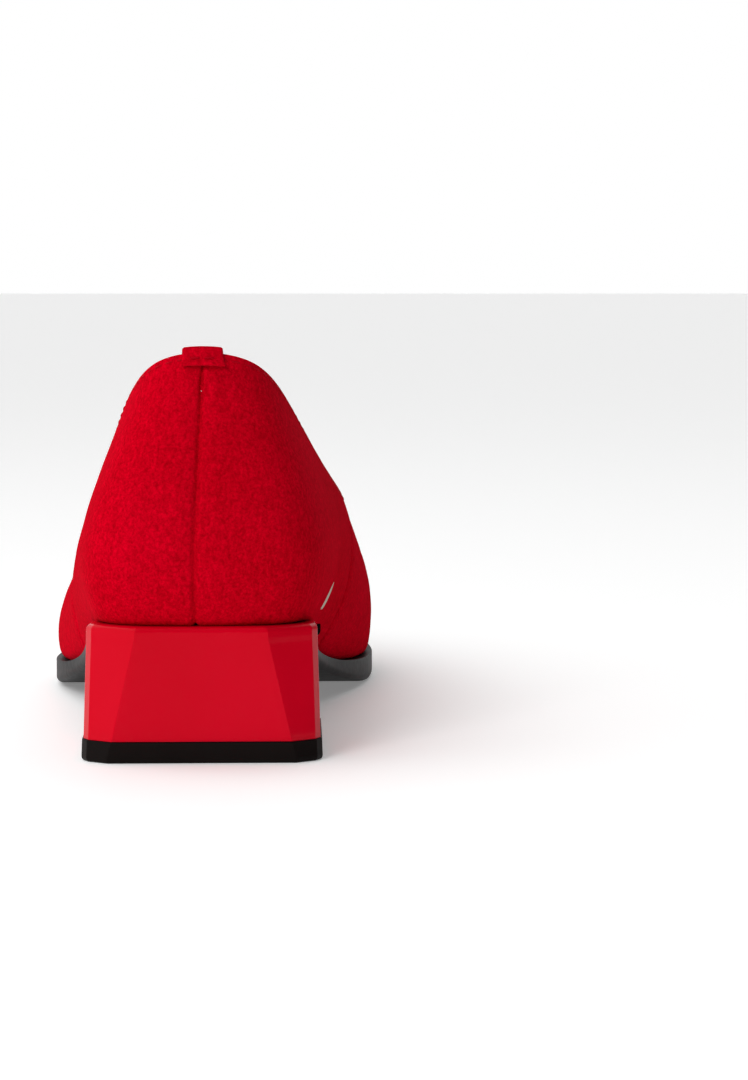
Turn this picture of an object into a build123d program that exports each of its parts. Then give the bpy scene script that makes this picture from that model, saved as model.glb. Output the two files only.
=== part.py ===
"""Left-foot court shoe with a low faceted block heel, for an EU 37 foot.

Millimetres. +X is the inner (medial) side, +Y points at the toe, +Z is up. The origin is the middle
of the heel tip's underside, where the heel stands on the floor.

The upper is a skin in two coordinates. u counts stations round the shoe, from the back seam along the
inner side to the toe and back along the outer side. w climbs a section: 0 to 1 is the margin turned
in under the insole, 1 to 2 the bend at the feather edge, 2 to 3 the wall up to the topline.
"""

from build123d import *
import math
import os

import numpy as np

# Driving sizes
LENGTH = 247.0  # back of the heel curve to the toe, along Y
BACK = 27.0  # the origin's distance from the back of the heel curve
HEEL_HEIGHT = 31.6  # at the back, heel tip included
TIP_HEIGHT = 5.0
GAP = 0.05  # cement between two layers
UPPER = 1.3
TAPE = 0.25
COUNTER = 1.2
PUFF = 0.8
LINING = 0.9
BEND = 2.8  # outside radius of the upper at the feather edge
MARGIN = 13.0  # lasting margin, narrower round the toe
BOARD = 1.6
INSOLE = 1.2
FOAM = 2.0
SOCK = 0.9
TONGUE = 1.5  # the outsole's end, let in between heel and seat
SOLE_EDGE = 0.9  # how far the outsole stands out from the upper
TAB = 0.9

# Places along the shoe, from the back of the heel curve
BREAST = 46.0
TONGUE_END = 35.0
BOARD_JOINT = 148.0
SHANK_START, SHANK_END = 24.0, 132.0

# One row a station: feather x, y | topline x, y, z | y of the middle that the section faces |
# wall's lean in degrees and its reach | topline's slope in degrees and its reach
STATIONS = [
    (-1.4, 2.5, 0.4, 9.0, 94.2, 30, 24, 21, 16, 22),
    (13.5, 4.0, 9.6, 11.5, 92.9, 30, 24, 21, 18, 22),
    (22.3, 9.8, 16.0, 20, 88.4, 32, 25, 20, 22, 20),
    (25.8, 22, 21.2, 34, 80, 36, 26, 18, 22, 18),
    (27, 43, 26.6, 52, 69.5, 50, 27, 17, 21, 16),
    (26, 68, 31.6, 76, 60.8, 74, 32, 17, 18, 14),
    (28.5, 98, 34, 102, 56, 100, 35, 18, 20, 13),
    (36.5, 130, 33, 128, 53.8, 122, 28, 19, 32, 13),
    (42.4, 158, 28, 149, 52.4, 142, 15, 18, 50, 18),
    (43.2, 184, 21.5, 162, 51.2, 156, 7, 15, 64, 26),
    (38, 210, 15, 168.5, 50.2, 168, 3, 14, 73, 34),
    (27.5, 233, 10, 171.5, 49.6, 180, 2, 13, 77, 40),
    (12, 246.5, 6, 172.6, 49.2, 195, 1, 12, 79, 42),
    (-6, 240, 1.5, 172, 49, 188, 1, 12, 78, 40),
    (-20.5, 223, -3.5, 170, 48.8, 176, 2, 12, 75, 35),
    (-32.5, 201, -9.5, 165.5, 48.8, 164, 4, 12, 69, 29),
    (-40.2, 178, -16, 157.5, 49, 152, 8, 12, 60, 21),
    (-41.8, 153, -22, 144, 49.5, 136, 11, 13, 48, 16),
    (-38, 127, -26, 124, 50.5, 118, 17, 14, 36, 12),
    (-32, 98, -28.5, 100, 52.5, 98, 23, 15, 28, 12),
    (-28.7, 68, -27.9, 76, 58, 74, 25, 16, 18, 13),
    (-27.2, 43, -23.0, 52, 67.5, 50, 24, 17, 19, 16),
    (-26, 22, -18.9, 34, 79, 36, 24, 18, 21, 18),
    (-22.5, 9.8, -14.4, 20, 88, 32, 24, 20, 20, 20),
    (-14, 4.0, -8.4, 11.5, 92.8, 30, 24, 21, 18, 22),
]
TURN = len(STATIONS)
TOE_STATION = 12.3
SIDE_SEAM_IN, SIDE_SEAM_OUT = 6.05, 18.95
# Height of the feather line, which is the top of heel and outsole, along the shoe
SEAT = [(0, 31.6), (25, 30.6), (48, 27.2), (72, 21.2), (98, 14.4), (124, 9.6), (150, 7.4), (175, 6.8),
        (200, 8.0), (225, 11.0), (248, 15.0)]
# Middle line of the bottom, along the shoe
MIDDLE = [(0, 0), (30, 0), (60, 0), (100, 1.5), (140, 4), (180, 6), (215, 8), (245, 9)]


def cubic(knots, values, closed=False):
    """A cubic spline through the values, as a function. Closed, it repeats after the last knot."""
    x, y = np.array(knots, float), np.array(values, float)
    n, h = len(x), np.diff(x)
    a, r = np.eye(n), np.zeros(n)
    for i in range(1, n - 1):
        a[i, i - 1 : i + 2] = h[i - 1], 2 * (h[i - 1] + h[i]), h[i]
        r[i] = 6 * ((y[i + 1] - y[i]) / h[i] - (y[i] - y[i - 1]) / h[i - 1])
    if closed:
        a[0, [0, 1, -2]] = 2 * (h[-1] + h[0]), h[0], h[-1]
        r[0] = 6 * ((y[1] - y[0]) / h[0] - (y[0] - y[-2]) / h[-1])
        a[-1, [0, -1]] = -1, 1
    k = np.linalg.solve(a, r)

    def at(t):
        i = int(np.clip(np.searchsorted(x, t, side="right") - 1, 0, n - 2))
        p, q, d = t - x[i], x[i + 1] - t, h[i]
        bent = (k[i] * q**3 + k[i + 1] * p**3) / (6 * d)
        return bent + (y[i] / d - k[i] * d / 6) * q + (y[i + 1] / d - k[i + 1] * d / 6) * p

    return at


COLUMNS = [cubic(range(TURN + 1), [*c, c[0]], closed=True) for c in zip(*STATIONS)]
seat_z = cubic(*zip(*SEAT))
middle_x = cubic(*zip(*MIDDLE))
UP = np.array([0.0, 0.0, 1.0])


def section(u):
    """What one section of the upper is drawn from: feather point, outward direction, four wall points."""
    fx, fy, tx, ty, tz, facing, lean, low, slope, high = (c(u % TURN) for c in COLUMNS)
    feather = np.array([fx, fy, seat_z(fy)])
    out = feather - [middle_x(facing), facing, feather[2]]
    out /= np.linalg.norm(out)
    top = np.array([tx, ty, tz])
    lean, slope = math.radians(lean), math.radians(slope)
    foot = feather + BEND * UP
    belly = foot + low * (math.cos(lean) * UP + math.sin(lean) * out)
    shoulder = top + high * (math.sin(slope) * out - math.cos(slope) * UP)
    return feather, out, (foot, belly, shoulder, top)


def margin_at(u):
    """Width of the lasting margin, which narrows round the toe."""
    away = abs((u % TURN) - TOE_STATION) / 3
    return MARGIN - 5 * math.exp(-away * away)


def bezier(points, t):
    a, b, c, d = points
    s = 1 - t
    return s**3 * a + 3 * s * s * t * b + 3 * s * t * t * c + t**3 * d


def skin(u, w):
    """A point of the upper's outside."""
    feather, out, wall = section(u)
    if w < 1:
        p = feather - out * (margin_at(u) + w * (BEND - margin_at(u)))
        p[2] = seat_z(p[1])
        return p
    if w < 2:
        lean = math.asin((wall[1] - wall[0]) @ out / np.linalg.norm(wall[1] - wall[0]))
        flat = feather - BEND * out
        flat[2] = seat_z(flat[1])
        pull = 0.55 * BEND
        climb = math.cos(lean) * UP + math.sin(lean) * out
        return bezier((flat, flat + pull * out, wall[0] - pull * climb, wall[0]), w - 1)
    return bezier(wall, w - 2)


def layer(u, w, depth):
    """A point that lies depth inside the upper's outside."""
    e = 1e-3
    low, high = max(w - e, 0), w + e if w < 3 else w
    across = skin(u + e, w) - skin(u - e, w)
    along = skin(u, high) - skin(u, low)
    normal = np.cross(across, along)
    return skin(u, w) - depth * normal / np.linalg.norm(normal)


def placed(p):
    return Vector(float(p[0]), float(p[1]) - BACK, float(p[2]))


def surface_through(grid):
    """A smooth face through a grid of points, one column after another."""
    spots = np.array([[tuple(p) for p in column] for column in grid])
    lengths = np.linalg.norm(np.diff(spots, axis=1), axis=2).mean(axis=0)
    along = np.concatenate([[0], np.cumsum(lengths)]) / lengths.sum()
    wires = [Wire([Edge.make_spline(column, parameters=list(along))]) for column in grid]
    return Shell.make_loft(wires).faces()[0]


def solid_between(outer, inner):
    """A closed solid between two grids of points that face each other."""
    faces = [surface_through(outer), surface_through(inner)]
    for a in faces[0].edges():
        middle = a @ 0.5
        b = min(faces[1].edges(), key=lambda e: (e @ 0.5 - middle).length)
        faces.append(Face.make_surface_from_curves(a, b))
    made = Solid(Shell(faces))
    return made if made.volume > 0 else Solid(made.wrapped.Reversed())


def steps(start, end, pitch):
    return np.linspace(start, end, max(4, int(round(abs(end - start) / pitch)) + 1))


def panel(u0, u1, rows, outer, inner, pitch=0.5):
    """A panel of a layer. outer and inner give each face's depth at (u, w)."""
    columns = steps(u0, u1, pitch)
    grids = [[[placed(layer(u, w, depth(u, w))) for w in rows] for u in columns] for depth in (outer, inner)]
    return solid_between(*grids)


FULL_ROWS = [0, 0.35, 0.7, 1, 1.25, 1.5, 1.75, 2, *np.linspace(2.08, 3, 12)]
LINING_ROWS = np.linspace(2.08, 3, 10)


def depth(value):
    return lambda u, w: value


def bump(x, start, end, fade):
    """1 between start and end, easing to 0 over fade inside each."""
    t = min(max(min(x - start, end - x) / fade, 0), 1)
    return t * t * (3 - 2 * t)


COUNTER_REACH, COUNTER_TOP = 5.2, 2.83
PUFF_FROM, PUFF_TO, PUFF_TOP = 9.2, 15.4, 2.66
SKIVED = 0.15
STIFF_AT = UPPER + GAP + TAPE + GAP


def counter_thickness(u, w):
    side = (u + TURN / 2) % TURN - TURN / 2
    full = bump(side, -COUNTER_REACH, COUNTER_REACH, 1.2) * bump(w, 1, COUNTER_TOP, 0.25)
    return SKIVED + (COUNTER - SKIVED) * full


def puff_thickness(u, w):
    return SKIVED + (PUFF - SKIVED) * bump(u % TURN, PUFF_FROM, PUFF_TO, 1.0) * bump(w, 1, PUFF_TOP, 0.25)


def stiffening(u, w):
    return max(counter_thickness(u, w), puff_thickness(u, w)) - SKIVED


def lining_outside(u, w):
    return STIFF_AT + SKIVED + stiffening(u, w) + 3 * GAP


def lining_inside(u, w):
    return lining_outside(u, w) + LINING


def build_upper():
    seam = 0.004  # half the gap at a seam, in stations
    faces = depth(0), depth(UPPER)
    return {
        "quarter_medial": panel(seam, SIDE_SEAM_IN - seam, FULL_ROWS, *faces, pitch=0.33),
        "quarter_lateral": panel(SIDE_SEAM_OUT + seam, TURN - seam, FULL_ROWS, *faces, pitch=0.33),
        "vamp": panel(SIDE_SEAM_IN + seam, SIDE_SEAM_OUT - seam, FULL_ROWS, *faces, pitch=0.33),
    }


def build_stiffeners():
    tape = depth(UPPER + GAP), depth(UPPER + GAP + TAPE)
    wall = [w for w in LINING_ROWS if w <= COUNTER_TOP]
    toe_wall = [w for w in LINING_ROWS if w <= PUFF_TOP]
    return {
        "back_seam_tape": panel(-0.35, 0.35, np.linspace(2.12, 2.88, 8), *tape, 0.1),
        "topline_tape": panel(0.02, TURN - 0.02, np.linspace(2.9, 2.985, 5), *tape, 0.33),
        "heel_counter": panel(-COUNTER_REACH, COUNTER_REACH, wall, depth(STIFF_AT),
                              lambda u, w: STIFF_AT + counter_thickness(u, w), 0.33),
        "toe_puff": panel(PUFF_FROM, PUFF_TO, toe_wall, depth(STIFF_AT),
                          lambda u, w: STIFF_AT + puff_thickness(u, w), 0.33),
    }


LINING_SEAM_IN, LINING_SEAM_OUT = 5.2, TURN - 5.2


def build_linings():
    seam = 0.004
    behind = LINING_SEAM_OUT - TURN + seam, LINING_SEAM_IN - seam
    before = LINING_SEAM_IN + seam, LINING_SEAM_OUT - seam
    return {
        "quarter_lining": panel(*behind, LINING_ROWS, lining_outside, lining_inside, 0.33),
        "vamp_lining": panel(*before, LINING_ROWS, lining_outside, lining_inside, 0.33),
    }


# The bottom: boards, pads, filler and outsole lie along the seat line
REACH = 60.0  # wider and taller than any part of the shoe, for cutting bodies
BOARD_AT = UPPER + 2 * GAP
INSOLE_AT = BOARD_AT + BOARD + GAP
FOAM_AT = INSOLE_AT + INSOLE + GAP
SOCK_AT = FOAM_AT + FOAM + GAP
EDGE_ROOM = 0.4
ROUND = np.linspace(0, TURN, 61)[:-1]
# Underside of the outsole, along the shoe. Under the ball it dips below the floor and is cut flat.
UNDERSIDE = [(30, 26.0), (48, 24.0), (72, 18.0), (98, 11.0), (124, 4.9), (150, 0.7), (172, -0.35),
             (196, 0.9), (222, 4.7), (250, 10.5)]
underside_z = cubic(*zip(*UNDERSIDE))
TONGUE_INSET = 3.0


def above_seat(offset):
    return lambda y: seat_z(y) + offset


def slab(low, high, y0, y1):
    """Everything between two curves along the shoe, from y0 to y1."""
    ys = np.linspace(y0, y1, max(4, int((y1 - y0) / 12) + 2))
    under = Edge.make_spline([placed((-REACH, y, low(y))) for y in ys])
    over = Edge.make_spline([placed((-REACH, y, high(y))) for y in ys])
    back = Edge.make_line(under @ 0, over @ 0)
    front = Edge.make_line(under @ 1, over @ 1)
    return Solid.extrude(Face(Wire([under, front, over, back])), Vector(2 * REACH, 0, 0))


def column_over(points):
    """A tall prism over the closed curve through some points."""
    ring = Edge.make_spline([Vector(p.X, p.Y, -REACH) for p in points], periodic=True)
    return Solid.extrude(Face(Wire([ring])), Vector(0, 0, 3 * REACH))


def feather_ring(inset):
    """A prism over the feather line, drawn in by an inset."""
    e = 1e-3
    points = []
    for u in ROUND:
        run = section(u + e)[0] - section(u - e)[0]
        normal = np.array([run[1], -run[0], 0]) / math.hypot(run[0], run[1])
        points.append(placed(section(u)[0] - inset * normal))
    return column_over(points)


def inside_lining(u, height):
    """The lining's inside at a height above the feather line."""
    low, high = 2.0, 2.6
    feather = section(u)[0]
    for _ in range(20):
        w = (low + high) / 2
        p = layer(u, w, lining_inside(u, w))
        low, high = (w, high) if p[2] < feather[2] + height else (low, w)
    return p


def edge_point(u, offset, thickness):
    """A point that clears the lining at every height of a layer."""
    out = section(u)[1]
    points = [inside_lining(u, offset + part * thickness) for part in (0, 0.5, 1)]
    return placed(min(points, key=lambda p: p @ out) - EDGE_ROOM * out)


def board(offset, thickness, y0, y1):
    """A layer of the bottom, cut to fit inside the lining."""
    shape = column_over([edge_point(u, offset, thickness) for u in ROUND])
    return shape & slab(above_seat(offset), above_seat(offset + thickness), y0, y1)


def cylinder(x, y, low, high, radius):
    upright = Cylinder(radius, high - low, align=(Align.CENTER, Align.CENTER, Align.MIN))
    return Pos(x, y - BACK, low) * upright


# Fasteners: places are x, then the distance from the back of the heel curve
FIT = 0.02  # room round nails, pins and rivets
NAILS = [(-9.4, 19.5), (9.4, 19.5), (-9.4, 31.5), (9.4, 31.5)]
NAIL_RADIUS, NAIL_HEAD, NAIL_FOOT = 1.1, 2.5, 12.0
SCREW_PLACE = (0.0, 19.0)
SCREW_RADIUS, SCREW_HEAD, SCREW_FOOT = 2.0, 4.2, 10.0
HEAD_DEPTH, HEAD_SUNK = 0.7, 0.75
TIP_PINS = [(-13.0, 13.0), (13.0, 13.0), (0.0, 36.0)]
PIN_RADIUS, PIN_LOW, PIN_HIGH = 1.5, 1.5, 14.0
RIVETS = [(0.0, 38.0), (3.2, 124.0)]
RIVET_RADIUS, RIVET_HEAD = 1.5, 2.4


def driven(place, radius, head, foot, room=0.0, over=0.0):
    """A nail or screw that runs from the insole board down into the heel."""
    x, y = place
    top = seat_z(y) + INSOLE_AT + INSOLE - HEAD_SUNK
    cap = cylinder(x, y, top - HEAD_DEPTH - room, top + over, head + room)
    return cap + cylinder(x, y, foot - room, top - HEAD_DEPTH, radius + room)


def nail_set(**room):
    return [driven(p, NAIL_RADIUS, NAIL_HEAD, NAIL_FOOT, **room) for p in NAILS]


def heel_screw(**room):
    return driven(SCREW_PLACE, SCREW_RADIUS, SCREW_HEAD, SCREW_FOOT, **room)


def across_seat(x, y, low, high, radius):
    """A cylinder square to the seat line, between two offsets above it."""
    slope = (seat_z(y + 0.5) - seat_z(y - 0.5))
    lean = Rot(X=math.degrees(math.atan(slope)))
    upright = Cylinder(radius, high - low, align=(Align.CENTER, Align.CENTER, Align.MIN))
    return Pos(x, y - BACK, seat_z(y)) * lean * Pos(0, 0, low) * upright


def rivet_bores():
    top = BOARD_AT + BOARD + 0.02
    return [across_seat(x, y, 0.2, top, RIVET_RADIUS + FIT) for x, y in RIVETS]


SHANK, SHANK_WIDTH = 0.8, 11.0
RIB, RIB_WIDTH = 0.3, 4.0
SHANK_AT = BOARD_AT - GAP - SHANK


def build_shank():
    """A sprung steel strip with a pressed rib along its middle."""
    start, end = (middle_x(y) for y in (SHANK_START, SHANK_END))
    turn = -math.degrees(math.atan2(end - start, SHANK_END - SHANK_START))
    middle = Pos((start + end) / 2, (SHANK_START + SHANK_END) / 2 - BACK)
    long = SHANK_END - SHANK_START
    outline = middle * Rot(Z=90 + turn) * SlotOverall(long, SHANK_WIDTH)
    rib_line = middle * Rot(Z=90 + turn) * SlotOverall(long - 36, RIB_WIDTH)
    blade = extrude(outline, REACH) & slab(above_seat(SHANK_AT), above_seat(SHANK_AT + SHANK), 10, 150)
    rib = extrude(rib_line, REACH) & slab(above_seat(SHANK_AT - RIB), above_seat(SHANK_AT + 0.2), 10, 150)
    shank = blade + rib
    for bore in rivet_bores():
        shank -= bore
    return shank


def build_rivets():
    """Rivets whose heads sit under the shank and whose shafts end in the board."""
    rivets = []
    for x, y in RIVETS:
        shaft = across_seat(x, y, SHANK_AT - 0.4, BOARD_AT + BOARD - 0.15, RIVET_RADIUS)
        head = across_seat(x, y, SHANK_AT - 0.42, SHANK_AT - 0.1, RIVET_HEAD)
        rivets.append(shaft + head)
    return rivets


def build_boards():
    far = LENGTH + 3
    insole = board(INSOLE_AT, INSOLE, -1, far)
    rear = board(BOARD_AT, BOARD, -1, BOARD_JOINT)
    for tool in [*nail_set(room=FIT, over=5), heel_screw(room=FIT, over=5)]:
        insole -= tool
        rear -= tool
    for tool in rivet_bores():
        rear -= tool
    return {
        "insole_board": insole,
        "shank_board": rear,
        "forepart_insole": board(BOARD_AT, BOARD, BOARD_JOINT + GAP, far),
        "comfort_foam": board(FOAM_AT, FOAM, -1, far),
        "insock": board(SOCK_AT, SOCK, -1, far),
    }


def build_filler():
    """Cork that levels the hollow between the turned-in margins under the ball."""
    inner = [section(u)[0] - section(u)[1] * (margin_at(u) + 0.5) for u in ROUND]
    hollow = column_over([placed(p) for p in inner])
    return hollow & slab(above_seat(GAP), above_seat(UPPER), SHANK_END + 5, LENGTH)


def build_outsole():
    top = above_seat(-GAP)
    front = feather_ring(-SOLE_EDGE) & slab(underside_z, top, BREAST + 0.1, LENGTH + 3)
    tongue = slab(above_seat(-GAP - TONGUE), top, TONGUE_END, BREAST + 0.5)
    sole = front + (feather_ring(TONGUE_INSET) & tongue)
    return sole - Pos(0, 0, -30) * Box(200, 500, 60)


# The heel's flat facets: half width and distance from the back of the heel curve at each corner
SEAT_LEVEL = 31.6
BACK_TOP, BACK_LOW = (14.9, 1.8), (20.6, 3.2)
CORNER_TOP = (25.3, 9.6)
EDGE_TOP, EDGE_LOW = (26.6, 12.4), (27.6, 10.6)
SIDE_TOP, SIDE_LOW = (26.9, 48.0), (27.6, 47.0)
BREAST_LOW = 44.0
POCKET = (13.6, 24.0, 9.5, 20.0)  # x from, x to, y from, floor
POCKET_FRONT = 36.0
TIP_PROUD, TIP_ROUND = 0.35, 0.9


def facet(a, b, c, grow):
    """The plane through three corners, moved out by grow and facing away from the heel's middle."""
    a, b, c = (Vector(p[0], p[1] - BACK, p[2]) for p in (a, b, c))
    normal = (b - a).cross(c - a).normalized()
    if normal.dot(Vector(0, 0, 15) - a) > 0:
        normal = normal * -1
    return Plane(origin=a + normal * grow, z_dir=normal)


def facets(grow):
    high, low = SEAT_LEVEL, TIP_HEIGHT
    back = facet((-9, BACK_TOP[1], high), (9, BACK_TOP[1], high), (9, BACK_LOW[1], low), grow)
    breast = facet((-9, BREAST, high), (9, BREAST, high), (9, BREAST_LOW, low), grow)
    planes = [back, breast]
    for side in (-1, 1):
        top = (side * BACK_TOP[0], BACK_TOP[1], high)
        foot = (side * BACK_LOW[0], BACK_LOW[1], low)
        corner = (side * CORNER_TOP[0], CORNER_TOP[1], high)
        side_top = (side * SIDE_TOP[0], SIDE_TOP[1], high)
        side_foot = (side * SIDE_LOW[0], SIDE_LOW[1], low)
        edge = (side * EDGE_TOP[0], EDGE_TOP[1], high)
        edge_foot = (side * EDGE_LOW[0], EDGE_LOW[1], low)
        planes.append(facet(top, foot, corner, grow))
        planes.append(facet(corner, edge, edge_foot, grow))
        planes.append(facet(edge, side_top, side_foot, grow))
    return planes


def faceted_block(low, high, grow):
    block = Pos(0, 0, (low + high) / 2) * Box(100, 140, high - low)
    for plane in facets(grow):
        block = split(block, plane, keep=Keep.BOTTOM)
    return block


def build_heel():
    block = faceted_block(TIP_HEIGHT, 40, 0)
    block -= slab(above_seat(-GAP), lambda y: REACH, -5, BREAST + 6)
    recess = slab(above_seat(-2 * GAP - TONGUE), lambda y: REACH, TONGUE_END - GAP, BREAST + 6)
    block -= recess & feather_ring(TONGUE_INSET - GAP)
    x0, x1, y0, floor = POCKET
    for side in (-1, 1):
        pocket = Box(x1 - x0, POCKET_FRONT - y0, REACH, align=(Align.CENTER, Align.MIN, Align.MIN))
        block -= Pos(side * (x0 + x1) / 2, y0 - BACK, floor) * pocket
    for tool in [*nail_set(room=FIT), heel_screw(room=FIT)]:
        block -= tool
    for x, y in TIP_PINS:
        block -= cylinder(x, y, 0, PIN_HIGH + FIT, PIN_RADIUS + FIT)
    return block


def build_tip():
    tip = faceted_block(0, TIP_HEIGHT - GAP, TIP_PROUD)
    tip = fillet(tip.faces().sort_by(Axis.Z)[0].edges(), TIP_ROUND)
    for x, y in TIP_PINS:
        tip -= cylinder(x, y, PIN_LOW - FIT, 10, PIN_RADIUS + FIT)
    return tip


def build_bottom():
    return {
        **build_boards(),
        "steel_shank": build_shank(),
        "shank_rivets": build_rivets(),
        "bottom_filler": build_filler(),
        "outsole": build_outsole(),
        "heel_block": build_heel(),
        "top_lift": build_tip(),
        "tip_pins": [cylinder(x, y, PIN_LOW, PIN_HIGH, PIN_RADIUS) for x, y in TIP_PINS],
        "heel_nails": nail_set(),
        "heel_screw": heel_screw(),
    }


# The tab folded over the topline at the back, and the stitching round the topline
TAB_REACH = 0.47  # half the tab's width, in stations
TAB_OUTSIDE, TAB_INSIDE = 3.9, 9.0
TAB_CREST = 0.2  # how far the fold stands off the topline
STITCH_BELOW, STITCH_PITCH, STITCH = 2.1, 3.1, 2.2
THREAD = 0.22


def row_below_top(u, distance):
    """The w a distance below the topline, along the wall."""
    low, high = 2.3, 3.0
    top = skin(u, 3)
    for _ in range(24):
        w = (low + high) / 2
        low, high = (w, high) if np.linalg.norm(skin(u, w) - top) > distance else (low, w)
    return (low + high) / 2


def tab_column(u, thickness):
    """Up the outside, over the topline and down the inside, a thickness off the shoe."""
    outside = [row_below_top(u, d) for d in (TAB_OUTSIDE, 2.6, 1.4, 0.5)]
    inside = [row_below_top(u, d) for d in (0.5, 2, 4.2, 6.5, TAB_INSIDE)]
    up = [layer(u, w, -GAP - thickness) for w in outside]
    down = [layer(u, w, lining_inside(u, w) + 2 * GAP + thickness) for w in inside]
    near, far = skin(u, 3), layer(u, 3, lining_inside(u, 3))
    half = np.linalg.norm(near - far) / 2
    across = (near - far) / (2 * half)
    rise = skin(u, 3) - skin(u, 2.99)
    rise /= np.linalg.norm(rise)
    over = []
    for turn in np.radians([15, 45, 75, 105, 135, 165]):
        wide = (half + GAP + thickness) * math.cos(turn)
        tall = (TAB_CREST + thickness) * math.sin(turn)
        over.append((near + far) / 2 + wide * across + tall * rise)
    return [placed(p) for p in [*up, *over, *down]]


def build_tab():
    us = np.linspace(-TAB_REACH, TAB_REACH, 7)
    return solid_between([tab_column(u, TAB) for u in us], [tab_column(u, 0) for u in us])


def stitch(u, off):
    """One stitch lying off the upper, along the topline."""
    w = row_below_top(u, STITCH_BELOW)
    middle = layer(u, w, -off)
    e = 1e-2
    run = layer(u + e, row_below_top(u + e, STITCH_BELOW), -off) - middle
    run /= np.linalg.norm(run)
    start = placed(middle - run * STITCH / 2)
    return Solid.make_cylinder(THREAD, STITCH, Plane(origin=start, z_dir=Vector(*map(float, run))))


def build_stitches():
    """Stitches at an even pitch round the topline; those across the tab lie on the tab."""
    us = np.linspace(0, TURN, 1501)
    spots = np.array([skin(u, 3) for u in us])
    run = np.concatenate([[0], np.cumsum(np.linalg.norm(np.diff(spots, axis=0), axis=1))])
    count = round(run[-1] / STITCH_PITCH)
    stitches = []
    for k in range(count):
        u = float(np.interp((k + 0.5) * run[-1] / count, run, us))
        on_tab = min(u, TURN - u) < TAB_REACH + 0.02
        stitches.append(stitch(u, THREAD + 0.14 + (TAB + GAP if on_tab else 0)))
    return stitches


def build_all():
    return {
        **build_upper(),
        **build_stiffeners(),
        **build_linings(),
        **build_bottom(),
        "heel_tab": build_tab(),
        "topline_stitches": build_stitches(),
    }


def save(parts):
    os.makedirs("parts", exist_ok=True)
    for name, shape in parts.items():
        body = Compound(children=shape) if isinstance(shape, list) else shape
        body.label = name
        export_step(body, f"parts/{name}.step")


save(build_all())
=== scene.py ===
"""A red suede court shoe on a low lacquered block heel, seen from behind.

The upper is drawn in the same two coordinates as the CAD: u counts stations round the shoe, from the
back seam along the inner side to the toe and back; w climbs a section, 1 to 2 round the feather edge
and 2 to 3 up the wall to the topline. Shapes are worked out in millimetres and placed in metres.
"""

import math

import bpy
import numpy as np
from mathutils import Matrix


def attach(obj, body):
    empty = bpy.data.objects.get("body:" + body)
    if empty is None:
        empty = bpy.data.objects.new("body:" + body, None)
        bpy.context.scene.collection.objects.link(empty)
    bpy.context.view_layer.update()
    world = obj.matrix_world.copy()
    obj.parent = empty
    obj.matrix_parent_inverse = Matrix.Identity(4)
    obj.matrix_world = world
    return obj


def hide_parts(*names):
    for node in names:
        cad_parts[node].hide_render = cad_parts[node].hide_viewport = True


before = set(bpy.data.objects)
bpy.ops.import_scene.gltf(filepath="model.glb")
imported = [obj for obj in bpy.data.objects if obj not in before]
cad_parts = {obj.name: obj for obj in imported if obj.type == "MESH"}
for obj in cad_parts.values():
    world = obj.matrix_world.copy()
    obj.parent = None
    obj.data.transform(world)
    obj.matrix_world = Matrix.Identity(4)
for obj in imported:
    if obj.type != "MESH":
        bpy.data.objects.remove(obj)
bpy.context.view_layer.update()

MM = 0.001
BACK = 27.0  # the origin's distance from the back of the heel curve
GAP, UPPER, TAPE, COUNTER, PUFF, LINING, SKIVED = 0.05, 1.3, 0.25, 1.2, 0.8, 0.9, 0.15
BEND, MARGIN = 2.8, 13.0
HEEL_TIP, SEAT_LEVEL, BREAST = 5.0, 31.6, 46.0
SOCK_UNDER, SOCK = 6.35, 0.9  # above the seat line
# feather x, y | topline x, y, z | y of the middle | wall's lean and reach | topline's slope and reach
STATIONS = [
    (-1.4, 2.5, 0.4, 9.0, 94.2, 30, 24, 21, 16, 22),
    (13.5, 4.0, 9.6, 11.5, 92.9, 30, 24, 21, 18, 22),
    (22.3, 9.8, 16.0, 20, 88.4, 32, 25, 20, 22, 20),
    (25.8, 22, 21.2, 34, 80, 36, 26, 18, 22, 18),
    (27, 43, 26.6, 52, 69.5, 50, 27, 17, 21, 16),
    (26, 68, 31.6, 76, 60.8, 74, 32, 17, 18, 14),
    (28.5, 98, 34, 102, 56, 100, 35, 18, 20, 13),
    (36.5, 130, 33, 128, 53.8, 122, 28, 19, 32, 13),
    (42.4, 158, 28, 149, 52.4, 142, 15, 18, 50, 18),
    (43.2, 184, 21.5, 162, 51.2, 156, 7, 15, 64, 26),
    (38, 210, 15, 168.5, 50.2, 168, 3, 14, 73, 34),
    (27.5, 233, 10, 171.5, 49.6, 180, 2, 13, 77, 40),
    (12, 246.5, 6, 172.6, 49.2, 195, 1, 12, 79, 42),
    (-6, 240, 1.5, 172, 49, 188, 1, 12, 78, 40),
    (-20.5, 223, -3.5, 170, 48.8, 176, 2, 12, 75, 35),
    (-32.5, 201, -9.5, 165.5, 48.8, 164, 4, 12, 69, 29),
    (-40.2, 178, -16, 157.5, 49, 152, 8, 12, 60, 21),
    (-41.8, 153, -22, 144, 49.5, 136, 11, 13, 48, 16),
    (-38, 127, -26, 124, 50.5, 118, 17, 14, 36, 12),
    (-32, 98, -28.5, 100, 52.5, 98, 23, 15, 28, 12),
    (-28.7, 68, -27.9, 76, 58, 74, 25, 16, 18, 13),
    (-27.2, 43, -23.0, 52, 67.5, 50, 24, 17, 19, 16),
    (-26, 22, -18.9, 34, 79, 36, 24, 18, 21, 18),
    (-22.5, 9.8, -14.4, 20, 88, 32, 24, 20, 20, 20),
    (-14, 4.0, -8.4, 11.5, 92.8, 30, 24, 21, 18, 22),
]
TURN = len(STATIONS)
SEAM_IN, SEAM_OUT = 6.05, 18.95
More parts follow.
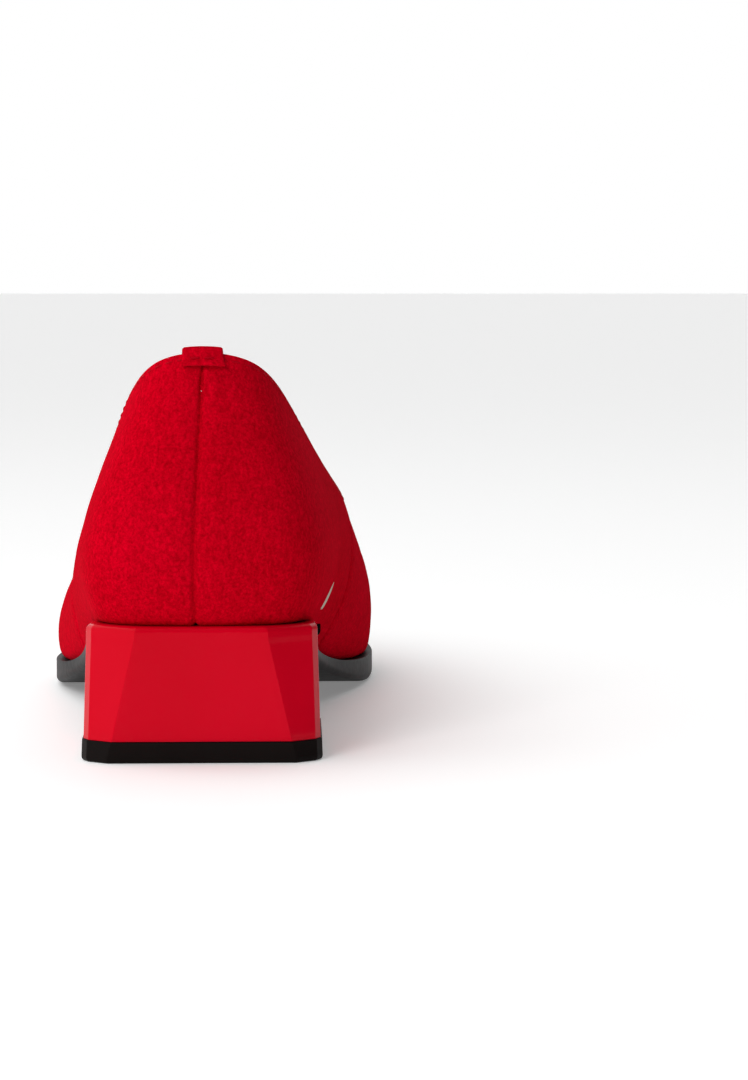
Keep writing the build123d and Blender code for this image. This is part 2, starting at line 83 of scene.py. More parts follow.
SEAT = [(0, 31.6), (25, 30.6), (48, 27.2), (72, 21.2), (98, 14.4), (124, 9.6), (150, 7.4), (175, 6.8),
        (200, 8.0), (225, 11.0), (248, 15.0)]
UNDERSIDE = [(30, 26.0), (48, 24.0), (72, 18.0), (98, 11.0), (124, 4.9), (150, 0.7), (172, -0.35),
             (196, 0.9), (222, 4.7), (250, 10.5)]
MIDDLE = [(0, 0), (30, 0), (60, 0), (100, 1.5), (140, 4), (180, 6), (215, 8), (245, 9)]


def cubic(knots, values, closed=False):
    """A cubic spline through the values, as a function of an array."""
    x, y = np.array(knots, float), np.array(values, float)
    n, h = len(x), np.diff(x)
    a, r = np.eye(n), np.zeros(n)
    for i in range(1, n - 1):
        a[i, i - 1 : i + 2] = h[i - 1], 2 * (h[i - 1] + h[i]), h[i]
        r[i] = 6 * ((y[i + 1] - y[i]) / h[i] - (y[i] - y[i - 1]) / h[i - 1])
    if closed:
        a[0, [0, 1, -2]] = 2 * (h[-1] + h[0]), h[0], h[-1]
        r[0] = 6 * ((y[1] - y[0]) / h[0] - (y[0] - y[-2]) / h[-1])
        a[-1, [0, -1]] = -1, 1
    k = np.linalg.solve(a, r)

    def at(t):
        t = np.asarray(t, float)
        i = np.clip(np.searchsorted(x, t, side="right") - 1, 0, n - 2)
        p, q, d = t - x[i], x[i + 1] - t, h[i]
        bent = (k[i] * q**3 + k[i + 1] * p**3) / (6 * d)
        return bent + (y[i] / d - k[i] * d / 6) * q + (y[i + 1] / d - k[i + 1] * d / 6) * p

    return at


COLUMNS = [cubic(range(TURN + 1), [*c, c[0]], closed=True) for c in zip(*STATIONS)]
seat_z = cubic(*zip(*SEAT))
underside_z = cubic(*zip(*UNDERSIDE))
middle_x = cubic(*zip(*MIDDLE))


def stack(*axes):
    return np.stack(np.broadcast_arrays(*axes), axis=-1).astype(float)


UP = np.array([0.0, 0.0, 1.0])


def unit(v):
    return v / np.linalg.norm(v, axis=-1, keepdims=True)


def section(u):
    """Feather points, outward directions, centres and wall points for an array of stations."""
    fx, fy, tx, ty, tz, facing, lean, low, slope, high = (c(np.mod(u, TURN)) for c in COLUMNS)
    feather = stack(fx, fy, seat_z(fy))
    centre = stack(middle_x(facing), facing, feather[..., 2])
    out = unit(feather - centre)
    lean, slope = np.radians(lean)[..., None], np.radians(slope)[..., None]
    top = stack(tx, ty, tz)
    foot = feather + BEND * UP
    belly = foot + low[..., None] * (np.cos(lean) * UP + np.sin(lean) * out)
    shoulder = top + high[..., None] * (np.sin(slope) * out - np.cos(slope) * UP)
    return feather, out, centre, (foot, belly, shoulder, top)


def bezier(points, t):
    a, b, c, d = points
    t = t[..., None]
    s = 1 - t
    return s**3 * a + 3 * s * s * t * b + 3 * s * t * t * c + t**3 * d


def skin(u, w):
    """Points of the upper's outside, for arrays of u and w."""
    u, w = np.broadcast_arrays(np.asarray(u, float), np.asarray(w, float))
    feather, out, _, wall = section(u)
    lean = unit(wall[1] - wall[0])
    inset = BEND + np.clip(1 - w, 0, 1) * (MARGIN - BEND)
    flat = feather - inset[..., None] * out
    flat[..., 2] = seat_z(flat[..., 1])
    pull = 0.55 * BEND
    turn = bezier((flat, flat + pull * out, wall[0] - pull * lean, wall[0]), np.clip(w - 1, 0, 1))
    climb = bezier(wall, np.clip(w - 2, 0, 1))
    return np.where((w < 1)[..., None], flat, np.where((w < 2)[..., None], turn, climb))


def skin_normal(u, w):
    e = 2e-3
    w = np.asarray(w, float)
    high, low = np.minimum(w + e, 3), np.maximum(w - e, 0)
    return unit(np.cross(skin(u + e, w) - skin(u - e, w), skin(u, high) - skin(u, low)))


def layer(u, w, depth):
    depth = np.asarray(depth, float)
    return skin(u, w) - depth[..., None] * skin_normal(u, w)


def smooth(x):
    t = np.clip(x, 0, 1)
    return t * t * (3 - 2 * t)


def bump(x, start, end, fade):
    return smooth(np.minimum(x - start, end - x) / fade)


def lining_inside(u, w):
    """Depth of the lining's inside below the upper's outside."""
    side = np.mod(u + TURN / 2, TURN) - TURN / 2
    counter = (COUNTER - SKIVED) * bump(side, -5.2, 5.2, 1.2) * bump(w, 1, 2.83, 0.25)
    puff = (PUFF - SKIVED) * bump(np.mod(u, TURN), 9.2, 15.4, 1.0) * bump(w, 1, 2.66, 0.25)
    return UPPER + TAPE + SKIVED + 5 * GAP + np.maximum(counter, puff) + LINING


# Meshes -------------------------------------------------------------------------------------------

def make_piece(name, points, faces, material, replaced=(), smooth_shade=True):
    """A mesh object from millimetre points, riding on the shoe."""
    spots = np.asarray(points, float) - [0, BACK, 0]
    mesh = bpy.data.meshes.new(name)
    mesh.from_pydata((spots * MM).tolist(), [], faces)
    mesh.validate()
    mesh.polygons.foreach_set("use_smooth", [smooth_shade] * len(mesh.polygons))
    mesh.materials.append(material)
    obj = bpy.data.objects.new(name, mesh)
    bpy.context.scene.collection.objects.link(obj)
    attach(obj, "root")
    if replaced:
        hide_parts(*replaced)
    return obj


def grid_faces(rows, columns, wrap=False, start=0, flip=False):
    """Quads over a grid of points stored row by row."""
    faces = []
    for i in range(rows if wrap else rows - 1):
        for j in range(columns - 1):
            a, b = i * columns + j, ((i + 1) % rows) * columns + j
            quad = (a, b, b + 1, a + 1)
            faces.append(tuple(start + k for k in (quad[::-1] if flip else quad)))
    return faces


def station_steps(u0, u1, pitch):
    """Stations about a pitch apart in millimetres, closer at the two ends for a tight seam edge."""
    us = np.linspace(u0, u1, 400)
    run = np.concatenate([[0], np.cumsum(np.linalg.norm(np.diff(skin(us, 2.5), axis=0), axis=1))])
    ends = [0, 0.12, 0.3, 0.55, 0.85, 1.2, 1.6, 2.1, 2.7]
    inner = np.linspace(3.4, run[-1] - 3.4, int(run[-1] / pitch))
    marks = [*ends, *inner, *[run[-1] - e for e in ends[::-1]]]
    return np.interp(marks, run, us), np.array(marks), run[-1]


FOLD = np.radians([20, 45, 70, 90, 110, 135, 160])
ROLL = 0.55  # how far the folded suede edge stands above its last row
TOP_ROW = 2.985  # the last row below the rolled edge
# Each is a depth in millimetres and the distance from the seam over which it fades
SEAM_CUT, SEAM_DIP = (0.75, 0.62), (0.36, 2.6)
SEAM_SWELL, SWELL_AWAY, SWELL_WIDTH = 0.10, 4.2, 2.0


def fade(distance, width):
    return np.exp(-((distance / width) ** 2))


def panel_points(us, marks, length):
    """Points of one suede panel: margin, bend, wall, rolled topline and a short way down inside."""
    ws = np.concatenate([np.linspace(0.9, 1, 3), np.linspace(1.08, 2, 14), np.linspace(2.015, TOP_ROW, 84)])
    u, w = np.meshgrid(us, ws, indexing="ij")
    edge = np.minimum(marks, length - marks)[:, None] * np.ones_like(w)
    rise = smooth((w - 1.9) / 0.3)
    valley = SEAM_CUT[0] * fade(edge, SEAM_CUT[1]) + SEAM_DIP[0] * fade(edge, SEAM_DIP[1]) * rise
    pillow = SEAM_SWELL * fade(edge - SWELL_AWAY, SWELL_WIDTH) * rise
    outer = layer(u, w, valley - pillow + back_hollow(u, w))
    near = skin(us, np.full_like(us, TOP_ROW))
    normal = skin_normal(us, np.full_like(us, TOP_ROW))
    along = unit(skin(us, np.full_like(us, 3.0)) - near)
    sink = valley[:, -1:]
    half = UPPER / 2
    folds = []
    for turn in FOLD:
        inward = sink + (half - sink / 2) * (1 - math.cos(turn))
        folds.append(near - inward * normal + ROLL * math.sin(turn) * along)
    inside_w = np.linspace(2.98, 2.86, 5)
    ui, wi = np.meshgrid(us, inside_w, indexing="ij")
    inner = layer(ui, wi, np.full_like(wi, UPPER))
    return np.concatenate([outer, np.stack(folds, axis=1), inner], axis=1)


def wander(u, w):
    """Slight hand-lasted unevenness of the suede, in millimetres."""
    p = skin(u, w)
    x, y, z = p[..., 0], p[..., 1], p[..., 2]
    waves = np.sin(0.11 * x + 0.07 * y + 1.3) * np.sin(0.13 * z + 0.05 * y)
    fine = np.sin(0.31 * y - 0.22 * z + 0.6) * np.sin(0.27 * x + 0.35 * z)
    return 0.09 * waves + 0.035 * fine


HOLE_DEPTH, HOLE_WIDTH, HOLE_HIGH = 0.7, 0.55, 1.5
HOLE_LEVEL = 86.4  # height of the hole in the back seam
STATION_WIDTH = 11.5  # millimetres from one station to the next at the back


def back_hollow(u, w):
    """The suede's unevenness, and the small hole where the back seam opens under the tab."""
    away = np.abs(np.mod(u + TURN / 2, TURN) - TURN / 2) * STATION_WIDTH
    above = HOLE_LEVEL - skin(u, w)[..., 2]
    return wander(u, w) + HOLE_DEPTH * fade(away, HOLE_WIDTH) * fade(above, HOLE_HIGH)


PITCH = 0.8


def build_panel(name, u0, u1, replaced, material):
    us, marks, length = station_steps(u0, u1, PITCH)
    points = panel_points(us, marks, length)
    rows, columns = points.shape[:2]
    return make_piece(name, points.reshape(-1, 3), grid_faces(rows, columns), material, replaced)


def build_lining(name, u0, u1, replaced, material):
    us = np.linspace(u0, u1, int(abs(u1 - u0) * 14))
    u, w = np.meshgrid(us, np.linspace(2.975, 2.04, 60), indexing="ij")
    inner = layer(u, w, lining_inside(u, w))
    top_w = np.full_like(us, TOP_ROW)
    near = layer(us, top_w, np.full_like(us, UPPER + 0.12))
    far = layer(us, top_w, lining_inside(us, top_w))
    along = unit(skin(us, top_w) - skin(us, top_w - 0.02))
    roll = [(near + far) / 2 + (near - far) / 2 * math.cos(t) + 0.3 * math.sin(t) * along for t in FOLD]
    down = [layer(us, top_w - 0.06, np.full_like(us, UPPER + 0.12)), near]
    points = np.concatenate([np.stack(down + roll, axis=1), inner], axis=1)
    rows, columns = points.shape[:2]
    return make_piece(name, points.reshape(-1, 3), grid_faces(rows, columns), material, replaced)


def feather_rim(us, inset):
    """Plan points round the feather line, drawn in by an inset."""
    e = 1e-3
    feather = section(us)[0]
    run = section(us + e)[0] - section(us - e)[0]
    normal = unit(stack(run[:, 1], -run[:, 0], 0 * us))
    return feather - inset * normal


def build_sock(material):
    """The insock: a thin leather pad with a soft edge that lies on the foam."""
    us = np.linspace(0, TURN, 361)[:-1]
    rim = layer(us, np.full_like(us, 2.1), lining_inside(us, np.full_like(us, 2.1)))
    centre = section(us)[2]
    rows = []
    edge = [(0.0, 0.0), (0.0, 0.5), (0.012, 0.8), (0.03, 0.95), (0.06, 1.0)]
    for inward, lift in edge + [(t, 1.0) for t in np.linspace(0.12, 1, 16)]:
        p = rim * (1 - inward) + centre * inward
        p[:, 2] = seat_z(p[:, 1]) + SOCK_UNDER + SOCK * lift
        rows.append(p)
    points = np.stack(rows, axis=1)
    faces = grid_faces(len(us), points.shape[1], wrap=True)
    sock = make_piece("insock_leather", points.reshape(-1, 3), faces, material, ["insock"])
    return sock


def build_sole(material):
    """The outsole, with a narrow ledge round its top and a rounded lower edge."""
    us = np.linspace(0, TURN, 721)[:-1]
    centre = section(us)[2]
    corner = np.radians(np.linspace(0, 90, 7))
    profile = [(5.0, "top", 0.0), (0.4, "top", 0.0)]
    profile += [(-0.9 + 0.25 * (1 - math.sin(a)), "top", -0.25 * (1 - math.cos(a))) for a in corner]
    profile += [(-0.9 + 1.7 * (1 - math.cos(a)), "low", 1.7 * (1 - math.sin(a))) for a in corner]
    profile += [(3.0, "low", 0.0), (6.0, "low", 0.0)]
    rows = []
    for inset, side, lift in profile:
        p = feather_rim(us, inset)
        p[:, 1] = np.maximum(p[:, 1], BREAST + 0.1)
        low = np.maximum(underside_z(p[:, 1]), 0.0)
        top = seat_z(p[:, 1]) - GAP
        p[:, 2] = top + lift if side == "top" else np.minimum(low + lift, top - 0.4)
        rows.append(p)
    for t in np.linspace(0.15, 1, 8):
        p = rows[len(profile) - 1] * (1 - t) + centre * t
        p[:, 1] = np.maximum(p[:, 1], BREAST + 0.1)
        p[:, 2] = np.maximum(underside_z(p[:, 1]), 0.0)
        rows.append(p)
    points = np.stack(rows, axis=1)
    faces = grid_faces(len(us), points.shape[1], wrap=True, flip=True)
    return make_piece("outsole_rubber", points.reshape(-1, 3), faces, material, ["outsole"])


# The heel's facets: half width and distance from the back at each corner
BACK_TOP, BACK_LOW = (14.9, 1.8), (20.6, 3.2)
CORNER_TOP = (25.3, 9.6)
EDGE_TOP, EDGE_LOW = (26.6, 12.4), (27.6, 10.6)
SIDE_TOP, SIDE_LOW = (26.9, 48.0), (27.6, 47.0)
BREAST_LOW = 44.0


def facet_line(a, b, c, z):
    """Where the plane through three corners meets the height z, as normal . (x, y) = value."""
    a, b, c = (np.array(p, float) for p in (a, b, c))
    normal = np.cross(b - a, c - a)
    value = normal @ a - normal[2] * z
    size = math.hypot(normal[0], normal[1])
    sign = 1 if value - normal[:2] @ [0, 27] > 0 else -1
    return normal[:2] / size * sign, value / size * sign


def heel_outline(z, grow, radius):
    """The heel's plan at a height, its corners rounded, always with the same number of points."""
    high, low = SEAT_LEVEL, HEEL_TIP
    lines = []
    for side in (1, -1):
        foot = (side * BACK_LOW[0], BACK_LOW[1], low)
        top = (side * BACK_TOP[0], BACK_TOP[1], high)
        corner = (side * CORNER_TOP[0], CORNER_TOP[1], high)
        edge = (side * EDGE_TOP[0], EDGE_TOP[1], high)
        edge_foot = (side * EDGE_LOW[0], EDGE_LOW[1], low)
        side_top = (side * SIDE_TOP[0], SIDE_TOP[1], high)
        side_foot = (side * SIDE_LOW[0], SIDE_LOW[1], low)
        chamfer = facet_line(top, foot, corner, z)
        bevel = facet_line(corner, edge, edge_foot, z)
        flank = facet_line(edge, side_top, side_foot, z)
        lines += [chamfer, bevel, flank] if side == 1 else [flank, bevel, chamfer]
    back = facet_line((-9, BACK_TOP[1], high), (9, BACK_TOP[1], high), (9, BACK_LOW[1], low), z)
    breast = facet_line((-9, BREAST, high), (9, BREAST, high), (9, BREAST_LOW, low), z)
    loop = [back, *lines[:3], breast, *lines[3:]]
    grows = [grow, grow, grow, grow, 0.0, grow, grow, grow]
    count = len(loop)
    corners = []
    for k in range(count):
        (n0, v0), (n1, v1) = loop[k], loop[(k + 1) % count]
        corners.append(np.linalg.solve([n0, n1], [v0 + grows[k], v1 + grows[(k + 1) % count]]))
    points = []
    for k in range(count):
        before, here, after = corners[k - 1], corners[k], corners[(k + 1) % count]
        to_before, to_after = unit(before - here), unit(after - here)
        half = math.acos(np.clip(to_before @ to_after, -1, 1)) / 2
        cut = radius / math.tan(half)
        for t in np.linspace(0, 1, 7):
            a, b = here + to_before * cut, here + to_after * cut
            points.append((1 - t) ** 2 * a + 2 * t * (1 - t) * here + t * t * b)
        for t in np.linspace(0.08, 0.92, 12):
            points.append(here + to_after * cut + t * (after - here - to_after * 2 * cut))
    return np.array(points)


def heel_body(name, low, high, grow, radius, bottom_round, top_round, seat, material, replaced):
    """A closed faceted body between two heights, or up to the seat line."""
    rows = []
    turns = np.radians(np.linspace(0, 90, 7))
    levels = [(low, bottom_round * (1 - math.sin(a)), bottom_round * (1 - math.cos(a))) for a in turns]
    levels += [(None, 0.0, s) for s in np.linspace(0.06, 0.94, 9)]
    levels += [(high, top_round * (1 - math.cos(a)), -top_round * (1 - math.sin(a))) for a in turns]
    for base, inset, lift in levels:
        guess = (low + (high - low) * lift) if base is None else base + lift
        plan = heel_outline(guess, grow - inset, max(radius - inset * 0.3, 0.1))
        top = seat_z(plan[:, 1]) - GAP if seat else np.full(len(plan), high)
        if base is None:
            z = low + bottom_round + lift * (top - top_round - low - bottom_round)
        elif base == low:
            z = np.full(len(plan), low + lift)
        else:
            z = top + lift
        rows.append(stack(plan[:, 0], plan[:, 1], z))
    middle = np.array([0.0, 26.0])
    rim = rows[-1][:, :2]
    for t in (0.3, 0.6, 0.9, 1.0):
        plan = rim * (1 - t) + middle * t
        z = seat_z(plan[:, 1]) - GAP if seat else np.full(len(plan), high)
        rows.append(stack(plan[:, 0], plan[:, 1], z))
    under = []
    for t in (1.0, 0.6, 0.3):
        plan = rows[0][:, :2] * (1 - t) + middle * t
        under.append(stack(plan[:, 0], plan[:, 1], np.full(len(plan), low)))
    points = np.stack(under + rows, axis=1)
    faces = grid_faces(points.shape[0], points.shape[1], wrap=True)
    return make_piece(name, points.reshape(-1, 3), faces, material, replaced)


# Tab and stitches ---------------------------------------------------------------------------------

def row_below_top(u, distance):
    """The w a distance below the topline along the wall, for an array of u."""
    low, high = np.full_like(u, 2.3), np.full_like(u, 3.0)
    top = skin(u, high)
    for _ in range(24):
        w = (low + high) / 2
        over = np.linalg.norm(skin(u, w) - top, axis=-1) > distance
        low, high = np.where(over, w, low), np.where(over, high, w)
    return (low + high) / 2


TAB_REACH = 0.47
TAB = 0.9


def tab_layer(us, off):
    """The tab's path up the outside, over the topline and down the inside, off the shoe by off."""
    path = []
    for drop in np.linspace(3.9, 0.25, 15):
        lift = 0.75 * smooth((drop - 2.3) / 1.6) - 0.16 * math.exp(-(((drop - 2.1) / 0.7) ** 2))
        w = row_below_top(us + 0.028 * drop / 3.9, drop)
        path.append(layer(us + 0.028 * drop / 3.9, w, np.full_like(us, -GAP - off - lift)))
    top_w = np.full_like(us, 3.0)
    near, far = skin(us, top_w), layer(us, top_w, lining_inside(us, top_w))
    half = np.linalg.norm(near - far, axis=-1, keepdims=True) / 2
    across = (near - far) / (2 * half)
    along = unit(near - skin(us, top_w - 0.01))
    for turn in np.radians(np.linspace(8, 172, 15)):
        wide = (half + GAP + off) * np.sign(math.cos(turn)) * abs(math.cos(turn)) ** 0.8
        tall = (0.17 + off) * math.sin(turn) ** 0.75
        path.append((near + far) / 2 + wide * across + tall * along)
    for drop in np.linspace(0.4, 9, 18):
        w = row_below_top(us, drop)
        path.append(layer(us, w, lining_inside(us, w) + 0.1 + off))
    return np.stack(path, axis=1)


def build_tab(material):
    """A folded suede tab: two faces joined round a softened edge."""
    across = np.linspace(-1, 1, 31)
    us = TAB_REACH * across
    rim = np.abs(across)
    squeeze = 0.5 * smooth((rim - 0.93) / 0.07)
    outer, inner = tab_layer(us, TAB), tab_layer(us, 0.0)
    ends = np.ones(outer.shape[1])
    ends[[0, -1]] = 0.45
    ends[[1, -2]] = 0.2
    ends[2:-2] = 0.0
    blend = np.maximum(squeeze[:, None] * 0.8, ends[None, :])[..., None]
    middle = (outer + inner) / 2
    outer = outer * (1 - blend) + middle * blend
    inner = inner * (1 - blend * 0.6) + middle * blend * 0.6
    rows, columns = outer.shape[:2]
    count = rows * columns
    points = np.concatenate([outer.reshape(-1, 3), inner.reshape(-1, 3)])
    faces = grid_faces(rows, columns) + grid_faces(rows, columns, start=count, flip=True)
    rim_loop = [i * columns for i in range(rows)] + [(rows - 1) * columns + j for j in range(1, columns)]
    rim_loop += [i * columns + columns - 1 for i in range(rows - 2, -1, -1)] + list(range(columns - 2, 0, -1))
    for a, b in zip(rim_loop, rim_loop[1:] + rim_loop[:1]):
        faces.append((b, a, a + count, b + count))
    return make_piece("pull_tab", points, faces, material, ["heel_tab"])


STITCH_BELOW, STITCH_PITCH, STITCH, THREAD = 2.1, 3.1, 2.3, 0.23


def build_stitches(material):
    """Stitches round the topline; each is a thread that dips into the suede at its ends."""
    us = np.linspace(0, TURN, 1501)
    run = np.concatenate([[0], np.cumsum(np.linalg.norm(np.diff(skin(us, 3.0), axis=0), axis=1))])
    count = round(run[-1] / STITCH_PITCH)
    points, faces = [], []
    ring = np.radians(np.arange(0, 360, 45))
    for k in range(count):
        centre = (k + 0.5) * run[-1] / count
        places = np.interp(centre + np.linspace(-STITCH / 2, STITCH / 2, 9), run, us)
        u_mid = float(np.interp(centre, run, us))
        on_tab = min(u_mid, TURN - u_mid) < TAB_REACH
        lift = TAB + GAP - 0.1 if on_tab else -0.04
        w = row_below_top(places, STITCH_BELOW)
        arch = np.sin(np.linspace(0, math.pi, 9)) ** 0.5
        base = layer(places, w, -(lift + 0.2 * arch - 0.12))
        normal = skin_normal(places, w)
        run_dir = unit(np.gradient(base, axis=0))
        side = np.cross(run_dir, normal)
        thick = THREAD * (0.35 + 0.65 * arch)
        start = len(points)
        for i in range(9):
            for a in ring:
                points.append(base[i] + thick[i] * (math.cos(a) * side[i] + math.sin(a) * normal[i]))
        for i in range(8):
            for j in range(8):
                a, b = start + i * 8 + j, start + i * 8 + (j + 1) % 8
                faces.append((a, a + 8, b + 8, b))
        faces.append(tuple(start + j for j in range(8)))
        faces.append(tuple(start + 64 + j for j in range(7, -1, -1)))
    return make_piece("topline_thread", points, faces, material, ["topline_stitches"])


# Materials ----------------------------------------------------------------------------------------

def new_material(name, color, roughness, **inputs):
    material = bpy.data.materials.new(name)
    material.use_nodes = True
    nodes = material.node_tree.nodes
    shader = nodes["Principled BSDF"]
    shader.inputs["Base Color"].default_value = (*color, 1)
    shader.inputs["Roughness"].default_value = roughness
    for key, value in inputs.items():
        shader.inputs[key.replace("_", " ")].default_value = value
    return material, material.node_tree, shader


def object_coords(tree):
    return tree.nodes.new("ShaderNodeTexCoord").outputs["Object"]


def noise(tree, scale, detail=4.0, roughness=0.55, stretch=None):
    node = tree.nodes.new("ShaderNodeTexNoise")
    node.inputs["Scale"].default_value = scale
    node.inputs["Detail"].default_value = detail
    node.inputs["Roughness"].default_value = roughness
    coords = object_coords(tree)
    if stretch:
        mapping = tree.nodes.new("ShaderNodeMapping")
        mapping.inputs["Scale"].default_value = stretch
        tree.links.new(coords, mapping.inputs["Vector"])
        coords = mapping.outputs["Vector"]
    tree.links.new(coords, node.inputs["Vector"])
    return node.outputs["Fac"]


def ramp(tree, value, stops):
    node = tree.nodes.new("ShaderNodeValToRGB")
    while len(node.color_ramp.elements) < len(stops):
        node.color_ramp.elements.new(0.5)
    for element, (place, color) in zip(node.color_ramp.elements, stops):
        element.position = place
        element.color = (*color, 1)
    tree.links.new(value, node.inputs["Fac"])
    return node.outputs["Color"]


def multiply_colors(tree, a, b):
    node = tree.nodes.new("ShaderNodeMix")
    node.data_type = "RGBA"
    node.blend_type = "MULTIPLY"
    node.inputs["Factor"].default_value = 1.0
    tree.links.new(a, node.inputs["A"])
    tree.links.new(b, node.inputs["B"])
    return node.outputs["Result"]


def add_bump(tree, shader, layers):
    """Stack bump layers of (height, strength, distance in metres)."""
    normal = None
    for height, strength, distance in layers:
        node = tree.nodes.new("ShaderNodeBump")
        node.inputs["Strength"].default_value = strength
        node.inputs["Distance"].default_value = distance
        tree.links.new(height, node.inputs["Height"])
        if normal is not None:
            tree.links.new(normal, node.inputs["Normal"])
        normal = node.outputs["Normal"]
    tree.links.new(normal, shader.inputs["Normal"])


def suede_material():
    """Napped suede: brushed patches, short fibres and a soft sheen at the edges."""
    material, tree, shader = new_material("suede_red", (0.65, 0.0, 0.013), 0.92, Specular_IOR_Level=0.0)
    shader.inputs["Sheen Weight"].default_value = 0.09
    shader.inputs["Sheen Roughness"].default_value = 0.38
    shader.inputs["Sheen Tint"].default_value = (1.0, 0.10, 0.14, 1)
    patches = noise(tree, 38.0, 3.0, 0.5)
    fibres = noise(tree, 1500.0, 6.0, 0.7)
    strokes = noise(tree, 900.0, 4.0, 0.6, stretch=(1.0, 1.0, 0.6))
    base = ramp(tree, patches, [(0.3, (0.64, 0.0, 0.011)), (0.7, (0.74, 0.0, 0.016))])
    nap = ramp(tree, strokes, [(0.36, (0.76, 0.66, 0.66)), (0.64, (1.0, 1.0, 1.0))])
    pile = ramp(tree, fibres, [(0.34, (0.62, 0.5, 0.5)), (0.62, (1.0, 1.0, 1.0))])
    color = multiply_colors(tree, multiply_colors(tree, base, nap), pile)
    tree.links.new(color, shader.inputs["Base Color"])
    add_bump(tree, shader, [(patches, 0.25, 0.0006), (strokes, 0.35, 0.00022), (fibres, 0.6, 0.00016)])
    return material


def lacquer_material():
    """Glossy red lacquer over a solid heel."""
    material, tree, shader = new_material("lacquer_red", (0.62, 0.0, 0.014), 0.3, Coat_Weight=1.0)
    shader.inputs["Coat Roughness"].default_value = 0.03
    shader.inputs["Coat IOR"].default_value = 1.12
    shader.inputs["Specular IOR Level"].default_value = 0.02
    flow = noise(tree, 30.0, 2.0, 0.4)
    peel = noise(tree, 260.0, 2.0, 0.5)
    tone = ramp(tree, flow, [(0.3, (0.60, 0.0, 0.011)), (0.7, (0.66, 0.0, 0.015))])
    tree.links.new(tone, shader.inputs["Base Color"])
    node = tree.nodes.new("ShaderNodeBump")
    node.inputs["Strength"].default_value = 0.04
    node.inputs["Distance"].default_value = 0.0002
    tree.links.new(peel, node.inputs["Height"])
    tree.links.new(node.outputs["Normal"], shader.inputs["Coat Normal"])
    return material


def rubber_material(name, color, roughness, grain):
    material, tree, shader = new_material(name, color, roughness, Specular_IOR_Level=0.04)
    grit = noise(tree, grain, 5.0, 0.6)
    dark = tuple(0.8 * c for c in color)
    tone = ramp(tree, noise(tree, 90.0, 3.0), [(0.3, dark), (0.7, color)])
    tree.links.new(tone, shader.inputs["Base Color"])
    rough = tree.nodes.new("ShaderNodeMapRange")
    rough.inputs["To Min"].default_value = roughness - 0.07
    rough.inputs["To Max"].default_value = roughness + 0.1
    tree.links.new(grit, rough.inputs["Value"])
    tree.links.new(rough.outputs["Result"], shader.inputs["Roughness"])
    add_bump(tree, shader, [(grit, 0.15, 0.0001)])
    return material


def leather_material(name, color, roughness):
    """Smooth lining leather with a fine pebbled grain."""
    material, tree, shader = new_material(name, color, roughness, Specular_IOR_Level=0.35)
    cells = tree.nodes.new("ShaderNodeTexVoronoi")
    cells.inputs["Scale"].default_value = 1300.0
    tree.links.new(object_coords(tree), cells.inputs["Vector"])
    patches = noise(tree, 45.0, 4.0, 0.6)
    dark = tuple(0.82 * c for c in color)
    tree.links.new(ramp(tree, patches, [(0.3, dark), (0.7, color)]), shader.inputs["Base Color"])
    add_bump(tree, shader, [(patches, 0.1, 0.0004), (cells.outputs["Distance"], 0.3, 0.00008)])
    return material


def thread_material():
    material, tree, shader = new_material("thread_red", (0.42, 0.0, 0.008), 0.6, Specular_IOR_Level=0.03)
    twist = tree.nodes.new("ShaderNodeTexWave")
    twist.inputs["Scale"].default_value = 900.0
    tree.links.new(object_coords(tree), twist.inputs["Vector"])
    add_bump(tree, shader, [(twist.outputs["Fac"], 0.4, 0.0001)])
    return material


# Build --------------------------------------------------------------------------------------------

SUEDE = suede_material()
LACQUER = lacquer_material()
SOLE_BLACK = rubber_material("sole_black", (0.004, 0.0037, 0.004), 0.42, 500.0)
TIP_BLACK = rubber_material("tip_black", (0.008, 0.0055, 0.005), 0.45, 900.0)
LINING_LEATHER = leather_material("lining_leather", (0.62, 0.47, 0.36), 0.55)
SOCK_LEATHER = leather_material("sock_leather", (0.56, 0.41, 0.3), 0.5)
THREAD_RED = thread_material()

for piece in (
    build_panel("quarter_inner", 0.0, SEAM_IN, ["quarter_medial"], SUEDE),
    build_panel("vamp_suede", SEAM_IN, SEAM_OUT, ["vamp"], SUEDE),
    build_panel("quarter_outer", SEAM_OUT, float(TURN), ["quarter_lateral"], SUEDE),
):
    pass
build_lining("quarter_lining_leather", -5.2, 5.2, ["quarter_lining"], LINING_LEATHER)
build_lining("vamp_lining_leather", 5.2, TURN - 5.2, ["vamp_lining"], LINING_LEATHER)
build_sock(SOCK_LEATHER)
build_sole(SOLE_BLACK)
heel_body("heel_lacquered", HEEL_TIP, SEAT_LEVEL, 0.0, 0.45, 0.15, 1.3, True, LACQUER,
          ["heel_block"])
heel_body("heel_tip_rubber", 0.0, HEEL_TIP - GAP, 0.35, 0.8, 0.9, 0.2, False, TIP_BLACK,
          ["top_lift"])
build_tab(SUEDE)
build_stitches(THREAD_RED)


# Stage --------------------------------------------------------------------------------------------

FLOOR_HALF, FLOOR_WHITE, FLOOR_GLOW = 40.0, 0.95, 0.2


def build_floor():
    half = FLOOR_HALF
    mesh = bpy.data.meshes.new("floor")
    corners = [(-half, -half, 0), (half, -half, 0), (half, half, 0), (-half, half, 0)]
    mesh.from_pydata(corners, [], [(0, 1, 2, 3)])
    white = (FLOOR_WHITE, FLOOR_WHITE, FLOOR_WHITE)
    material, _, shader = new_material("floor_white", white, 0.6, Specular_IOR_Level=0.1)
    shader.inputs["Emission Color"].default_value = (1, 1, 1, 1)
    shader.inputs["Emission Strength"].default_value = FLOOR_GLOW
    mesh.materials.append(material)
    floor = bpy.data.objects.new("floor", mesh)
    bpy.context.scene.collection.objects.link(floor)


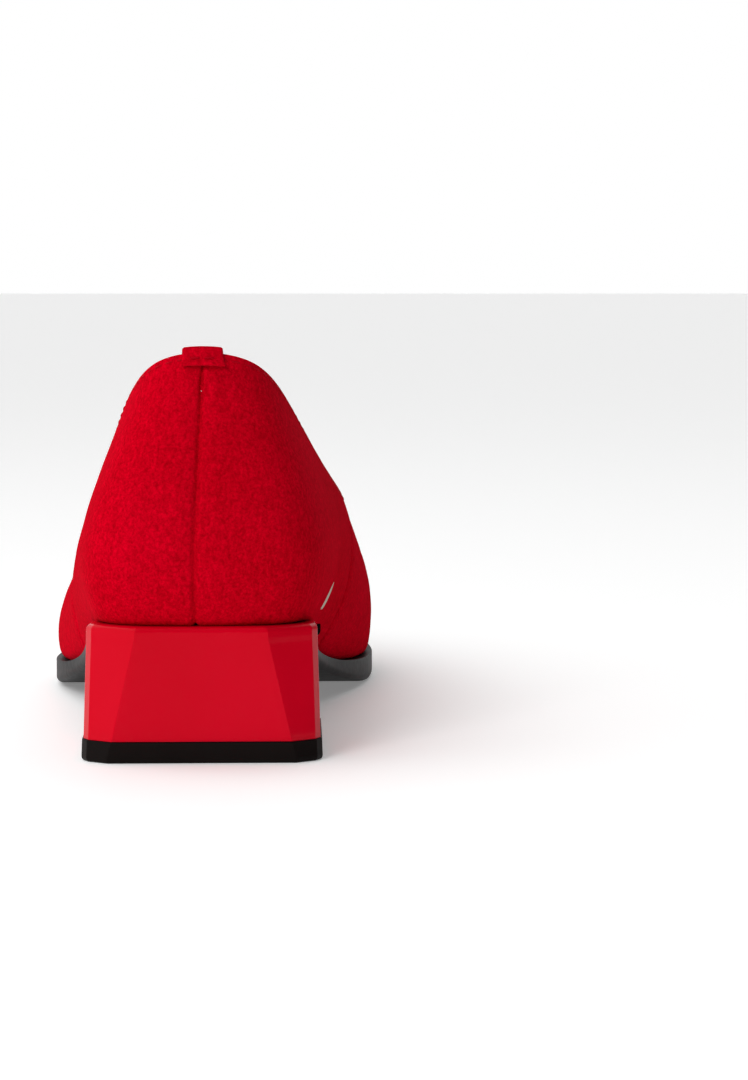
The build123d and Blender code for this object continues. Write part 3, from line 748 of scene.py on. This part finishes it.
def area_light(name, place, target, size, power):
    light = bpy.data.lights.new(name, "AREA")
    light.shape = "RECTANGLE"
    light.size, light.size_y = size
    light.energy = power
    obj = bpy.data.objects.new(name, light)
    bpy.context.scene.collection.objects.link(obj)
    obj.location = place
    away = np.array(place) - np.array(target)
    flat = math.hypot(away[0], away[1])
    obj.rotation_euler = (math.atan2(flat, away[2]), 0, math.atan2(away[0], -away[1]))


WORLD_SIDE = (-0.74, 0.55, 0.38)  # towards the bright side of the studio
WORLD_DIM_BELOW, WORLD_BRIGHT_ABOVE = -0.3, 0.45


def build_world(bright, dim):
    """A white studio, bright ahead of, above and on the outer side of the shoe, dim on the inner side."""
    world = bpy.data.worlds.new("studio")
    world.use_nodes = True
    tree = world.node_tree
    direction = tree.nodes.new("ShaderNodeTexCoord").outputs["Generated"]
    toward = tree.nodes.new("ShaderNodeVectorMath")
    toward.operation = "DOT_PRODUCT"
    toward.inputs[1].default_value = WORLD_SIDE
    tree.links.new(direction, toward.inputs[0])
    level = tree.nodes.new("ShaderNodeMapRange")
    level.interpolation_type = "SMOOTHSTEP"
    level.inputs["From Min"].default_value = WORLD_DIM_BELOW
    level.inputs["From Max"].default_value = WORLD_BRIGHT_ABOVE
    level.inputs["To Min"].default_value = dim
    level.inputs["To Max"].default_value = bright
    tree.links.new(toward.outputs["Value"], level.inputs["Value"])
    tree.links.new(level.outputs["Result"], tree.nodes["Background"].inputs["Strength"])
    tree.nodes["Background"].inputs["Color"].default_value = (1, 1, 1, 1)
    bpy.context.scene.world = world


CAMERA_PLACE, CAMERA_LENS = (0.015, -0.752, 0.109), 107.07
CAMERA_DOWN, CAMERA_RIGHT = 4.54, 1.917  # degrees


def build_camera():
    """Straight behind the heel, low, turned a little to the right and down."""
    camera = bpy.data.cameras.new("camera")
    camera.lens = CAMERA_LENS
    camera.sensor_width = 36.0
    obj = bpy.data.objects.new("camera", camera)
    bpy.context.scene.collection.objects.link(obj)
    obj.location = CAMERA_PLACE
    obj.rotation_euler = (math.radians(90 - CAMERA_DOWN), 0, math.radians(-CAMERA_RIGHT))
    bpy.context.scene.camera = obj


build_floor()
build_world(1.0, 0.03)
area_light("key_left", (-0.55, -1.1, 0.75), (0, 0, 0.05), (0.5, 0.5), 7.0)
area_light("top", (-0.55, 0.1, 1.2), (0, 0, 0), (1.0, 1.0), 2.5)
build_camera()
bpy.context.scene.view_settings.view_transform = "Standard"
